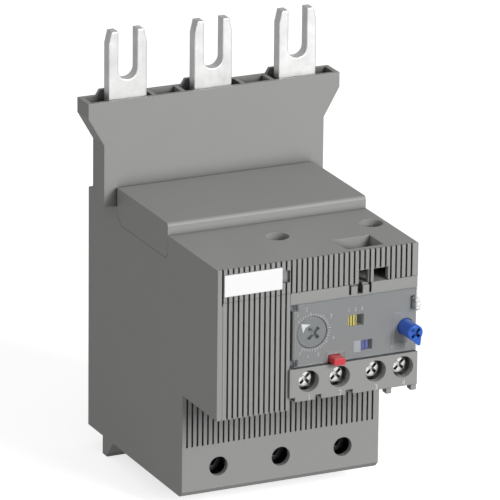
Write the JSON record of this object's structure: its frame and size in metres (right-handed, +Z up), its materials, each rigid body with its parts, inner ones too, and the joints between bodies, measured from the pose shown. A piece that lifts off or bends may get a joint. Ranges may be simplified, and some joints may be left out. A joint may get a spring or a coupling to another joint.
{
  "type": "electronic overload relay",
  "caption": "Electronic motor overload relay: ribbed case, forked busbars in a flared shroud, cable clamps, and a front module with dial, sliders, buttons and a hinged clear cover.",
  "frame": {"origin": "on the flat back of the housing, at its bottom edge, midway across", "axes": "+Z up towards the forks, +X to the right seen from the front, the front faces -Y"},
  "size_m": [0.0896, 0.1072, 0.147],
  "materials": {
    "case": "fine satin moulding",
    "panel": "smooth",
    "clear": "clear moulded plastic",
    "label": "white laminate",
    "dial": "smooth",
    "pointer": "white filling",
    "class_yellow": "smooth",
    "test_violet": "smooth",
    "stop_red": "smooth",
    "reset_blue": "smooth",
    "inner_plastic": "glass-filled moulding",
    "tinned_bar": "tin plated copper",
    "plated_steel": "zinc plated",
    "terminal_brass": "plain",
    "spring_steel": "drawn wire",
    "core_steel": "laminated or turned steel",
    "winding": "varnished copper wire",
    "board": "glass-fibre board",
    "component_black": "moulded case"
  },
  "bodies": {
    "housing": {"main_housing": "case", "front_cover": "case", "deck_cover": "case", "shroud_front": "case", "shroud_back": "case", "terminal_block": "case", "module_frame": "case", "control_panel": "panel", "label_plate": "label", "mechanism_base": "inner_plastic", "transformer_tray": "inner_plastic", "trip_coil": "inner_plastic", "phase_bar_1": "tinned_bar", "phase_bar_2": "tinned_bar", "phase_bar_3": "tinned_bar", "housing_screws": "plated_steel", "aux_terminals": "terminal_brass", "trip_spring": "spring_steel", "stop_spring": "spring_steel", "reset_spring": "spring_steel", "transformer_core_1": "core_steel", "transformer_core_2": "core_steel", "transformer_core_3": "core_steel", "trip_yoke": "core_steel", "transformer_winding_1": "winding", "transformer_winding_2": "winding", "transformer_winding_3": "winding", "circuit_board": "board", "potentiometer": "component_black", "class_switch": "component_black", "test_switch": "component_black", "capacitors": "component_black", "controller_chip": "component_black"},
    "cover": {"clear_cover": "clear"},
    "dial": {"current_dial": "dial", "dial_pointer": "pointer"},
    "class_slider": {"class_slider": "class_yellow"},
    "test_slider": {"test_slider": "test_violet"},
    "stop_button": {"stop_button": "stop_red"},
    "reset_plunger": {"reset_plunger": "inner_plastic"},
    "reset_knob": {"reset_button": "reset_blue"},
    "trip_carrier": {"contact_carrier": "inner_plastic", "contact_bridges": "terminal_brass", "trip_armature": "core_steel"},
    "clamp_cage_1": {"clamp_cage_1": "plated_steel"},
    "clamp_screw_1": {"clamp_screw_1": "plated_steel"},
    "clamp_cage_2": {"clamp_cage_2": "plated_steel"},
    "clamp_screw_2": {"clamp_screw_2": "plated_steel"},
    "clamp_cage_3": {"clamp_cage_3": "plated_steel"},
    "clamp_screw_3": {"clamp_screw_3": "plated_steel"},
    "aux_clamp_1": {"aux_clamp_1": "plated_steel"},
    "aux_screw_1": {"aux_screw_1": "plated_steel"},
    "aux_clamp_2": {"aux_clamp_2": "plated_steel"},
    "aux_screw_2": {"aux_screw_2": "plated_steel"},
    "aux_clamp_3": {"aux_clamp_3": "plated_steel"},
    "aux_screw_3": {"aux_screw_3": "plated_steel"},
    "aux_clamp_4": {"aux_clamp_4": "plated_steel"},
    "aux_screw_4": {"aux_screw_4": "plated_steel"}
  },
  "joints": [
    {"name": "cover_swing", "type": "hinge", "parent": "housing", "child": "cover", "pos_m": [-0.00795, -0.0992, 0.06], "axis": [0, 0, -1], "range_deg": [0, 90]},
    {"name": "dial_turn", "type": "hinge", "parent": "housing", "child": "dial", "pos_m": [-0.0019, -0.099, 0.06], "axis": [0, 1, 0], "range_deg": [0, 260]},
    {"name": "class_slide", "type": "slide", "parent": "housing", "child": "class_slider", "axis": [1, 0, 0], "range_m": [0, 0.0023]},
    {"name": "test_slide", "type": "slide", "parent": "housing", "child": "test_slider", "axis": [1, 0, 0], "range_m": [0, 0.0013], "stiffness_N_per_m": 60, "springref_m": -0.0005},
    {"name": "stop_press", "type": "slide", "parent": "housing", "child": "stop_button", "axis": [0, 1, 0], "range_m": [0, 0.002], "stiffness_N_per_m": 400, "springref_m": -0.001, "deforming": ["stop_spring"]},
    {"name": "reset_press", "type": "slide", "parent": "housing", "child": "reset_plunger", "axis": [0, 1, 0], "range_m": [0, 0.0025], "stiffness_N_per_m": 500, "springref_m": -0.001, "deforming": ["reset_spring"]},
    {"name": "reset_turn", "type": "hinge", "parent": "reset_plunger", "child": "reset_knob", "pos_m": [0.0311, -0.1, 0.0574], "axis": [0, 1, 0], "range_deg": [0, 90]},
    {"name": "trip_slide", "type": "slide", "parent": "housing", "child": "trip_carrier", "axis": [1, 0, 0], "range_m": [0, 0.0015], "deforming": ["trip_spring"]},
    {"name": "clamp_turn_1", "type": "hinge", "parent": "housing", "child": "clamp_screw_1", "pos_m": [-0.0221, -0.06, 0.0091], "axis": [0, 1, 0], "range_deg": [0, 1728]},
    {"name": "cage_slide_1", "type": "slide", "parent": "housing", "child": "clamp_cage_1", "axis": [0, -1, 0], "range_m": [0, 0.006]},
    {"name": "clamp_turn_2", "type": "hinge", "parent": "housing", "child": "clamp_screw_2", "pos_m": [0, -0.06, 0.0091], "axis": [0, 1, 0], "range_deg": [0, 1728]},
    {"name": "cage_slide_2", "type": "slide", "parent": "housing", "child": "clamp_cage_2", "axis": [0, -1, 0], "range_m": [0, 0.006]},
    {"name": "clamp_turn_3", "type": "hinge", "parent": "housing", "child": "clamp_screw_3", "pos_m": [0.0221, -0.06, 0.0091], "axis": [0, 1, 0], "range_deg": [0, 1728]},
    {"name": "cage_slide_3", "type": "slide", "parent": "housing", "child": "clamp_cage_3", "axis": [0, -1, 0], "range_m": [0, 0.006]},
    {"name": "aux_slide_1", "type": "slide", "parent": "housing", "child": "aux_clamp_1", "axis": [0, 1, 0], "range_m": [0, 0.002]},
    {"name": "aux_turn_1", "type": "hinge", "parent": "aux_clamp_1", "child": "aux_screw_1", "pos_m": [-0.0035, -0.095, 0.0443], "axis": [0, 1, 0], "range_deg": [0, 1028.6]},
    {"name": "aux_slide_2", "type": "slide", "parent": "housing", "child": "aux_clamp_2", "axis": [0, 1, 0], "range_m": [0, 0.002]},
    {"name": "aux_turn_2", "type": "hinge", "parent": "aux_clamp_2", "child": "aux_screw_2", "pos_m": [0.0074, -0.095, 0.0443], "axis": [0, 1, 0], "range_deg": [0, 1028.6]},
    {"name": "aux_slide_3", "type": "slide", "parent": "housing", "child": "aux_clamp_3", "axis": [0, 1, 0], "range_m": [0, 0.002]},
    {"name": "aux_turn_3", "type": "hinge", "parent": "aux_clamp_3", "child": "aux_screw_3", "pos_m": [0.0201, -0.095, 0.0443], "axis": [0, 1, 0], "range_deg": [0, 1028.6]},
    {"name": "aux_slide_4", "type": "slide", "parent": "housing", "child": "aux_clamp_4", "axis": [0, 1, 0], "range_m": [0, 0.002]},
    {"name": "aux_turn_4", "type": "hinge", "parent": "aux_clamp_4", "child": "aux_screw_4", "pos_m": [0.0298, -0.095, 0.0443], "axis": [0, 1, 0], "range_deg": [0, 1028.6]}
  ],
  "couplings": [
    {"joint": "clamp_turn_1", "follows": "cage_slide_1", "rad_per_m": 5026.5},
    {"joint": "clamp_turn_2", "follows": "cage_slide_2", "rad_per_m": 5026.5},
    {"joint": "clamp_turn_3", "follows": "cage_slide_3", "rad_per_m": 5026.5},
    {"joint": "aux_turn_1", "follows": "aux_slide_1", "rad_per_m": 8976},
    {"joint": "aux_turn_2", "follows": "aux_slide_2", "rad_per_m": 8976},
    {"joint": "aux_turn_3", "follows": "aux_slide_3", "rad_per_m": 8976},
    {"joint": "aux_turn_4", "follows": "aux_slide_4", "rad_per_m": 8976}
  ]
}
